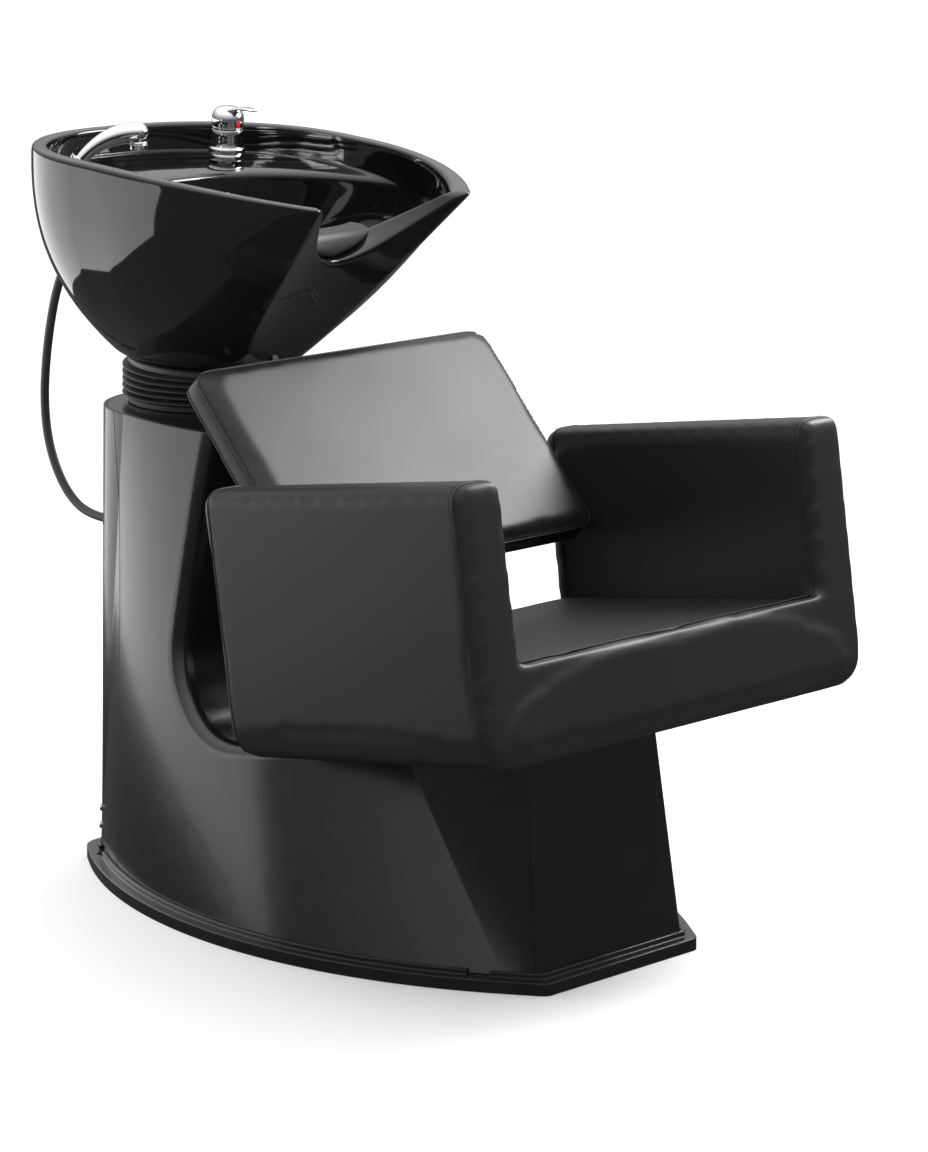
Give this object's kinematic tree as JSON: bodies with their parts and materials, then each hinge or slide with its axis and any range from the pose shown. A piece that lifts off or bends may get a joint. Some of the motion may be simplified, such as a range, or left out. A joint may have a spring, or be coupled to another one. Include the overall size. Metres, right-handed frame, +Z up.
{
  "type": "salon backwash unit",
  "caption": "Salon backwash unit: an upholstered tub chair and a tilting glossy basin with mixer tap and hand spray on one moulded pedestal.",
  "frame": {"origin": "on the floor below the middle of the unit's bounding box, the spray hose left out", "axes": "+Z up, the chair faces -Y, the basin stands at +Y, +X to the sitter's left"},
  "size_m": [0.65, 1.1239, 0.9848],
  "materials": {
    "shell_black": "high gloss black moulding",
    "bowl_glaze": "glossy black glaze",
    "upholstery": "satin black leatherette with fine grain",
    "board": "plywood",
    "backing": "black backing sheet",
    "frame_paint": "black powder coat",
    "fastener": "zinc plated",
    "black_rubber": "matt dark grey rubber",
    "friction_lining": "friction lining",
    "chrome": "polished chrome plate",
    "spray_face": "chromed plastic",
    "brass": "plain brass",
    "grey_plastic": "grey waste hose",
    "braid": "braided supply hose",
    "red_mark": "red enamel"
  },
  "bodies": {
    "base": {"base_plinth": "shell_black", "side_shell_left": "shell_black", "side_shell_right": "shell_black", "front_panel": "shell_black", "rear_cover": "shell_black", "column_cap": "shell_black", "cap_screws": "fastener", "cover_screws": "fastener", "foot_plate": "frame_paint", "rear_post": "frame_paint", "front_post": "frame_paint", "frame_beam": "frame_paint", "seat_plate": "frame_paint", "head_plate": "frame_paint", "frame_bolts": "fastener", "seat_bolts": "fastener", "seat_board": "board", "seat_base": "upholstery", "seat_cushion": "upholstery", "arm_left": "upholstery", "arm_right": "upholstery", "arm_bolts": "fastener", "back_cushion": "upholstery", "back_board": "backing", "back_bracket": "frame_paint", "tilt_bracket": "frame_paint", "tilt_pins": "fastener", "friction_washers": "friction_lining", "clamp_lower": "frame_paint", "bellows": "black_rubber", "waste_hose": "grey_plastic", "waste_spigot": "grey_plastic", "hot_hose": "braid", "cold_hose": "braid", "inlet_tails": "brass", "hose_grommet": "black_rubber", "spray_hose": "black_rubber"},
    "basin": {"bowl": "bowl_glaze", "neck_rest": "black_rubber", "bowl_plate": "frame_paint", "bowl_bolts": "fastener", "tilt_ears": "frame_paint", "clamp_upper": "frame_paint", "drain_flange": "chrome", "waste_nut": "brass", "mixer_base": "chrome", "mixer_nut": "brass", "spray_socket": "chrome", "socket_nut": "brass", "hose_union": "black_rubber"},
    "mixer_turn": {"mixer_collar": "chrome"},
    "lever": {"mixer_lever": "chrome", "lever_dot": "red_mark"},
    "spray": {"spray_handset": "chrome", "spray_nozzle": "spray_face"},
    "strainer": {"hair_strainer": "chrome"}
  },
  "joints": [
    {"name": "bowl_tilt", "type": "hinge", "parent": "base", "child": "basin", "pos_m": [0, 0.332, 0.645], "axis": [1, 0, 0], "range_deg": [-10, 10], "deforming": ["bellows", "waste_hose", "hot_hose", "cold_hose", "spray_hose"]},
    {"name": "mixer_swivel", "type": "hinge", "parent": "basin", "child": "mixer_turn", "pos_m": [0.112, 0.42377, 0.91499], "axis": [0, -0.0645, 0.9979], "range_deg": [-45, 45]},
    {"name": "mixer_lift", "type": "hinge", "parent": "mixer_turn", "child": "lever", "pos_m": [0.112, 0.42041, 0.96688], "axis": [-1, 0, 0], "range_deg": [0, 22]},
    {"name": "spray_pull", "type": "slide", "parent": "basin", "child": "spray", "axis": [0.4851, -0.4291, 0.7619], "range_m": [0, 0.08]},
    {"name": "strainer_lift", "type": "slide", "parent": "basin", "child": "strainer", "axis": [0, -0.0645, 0.9979], "range_m": [0, 0.04]}
  ]
}
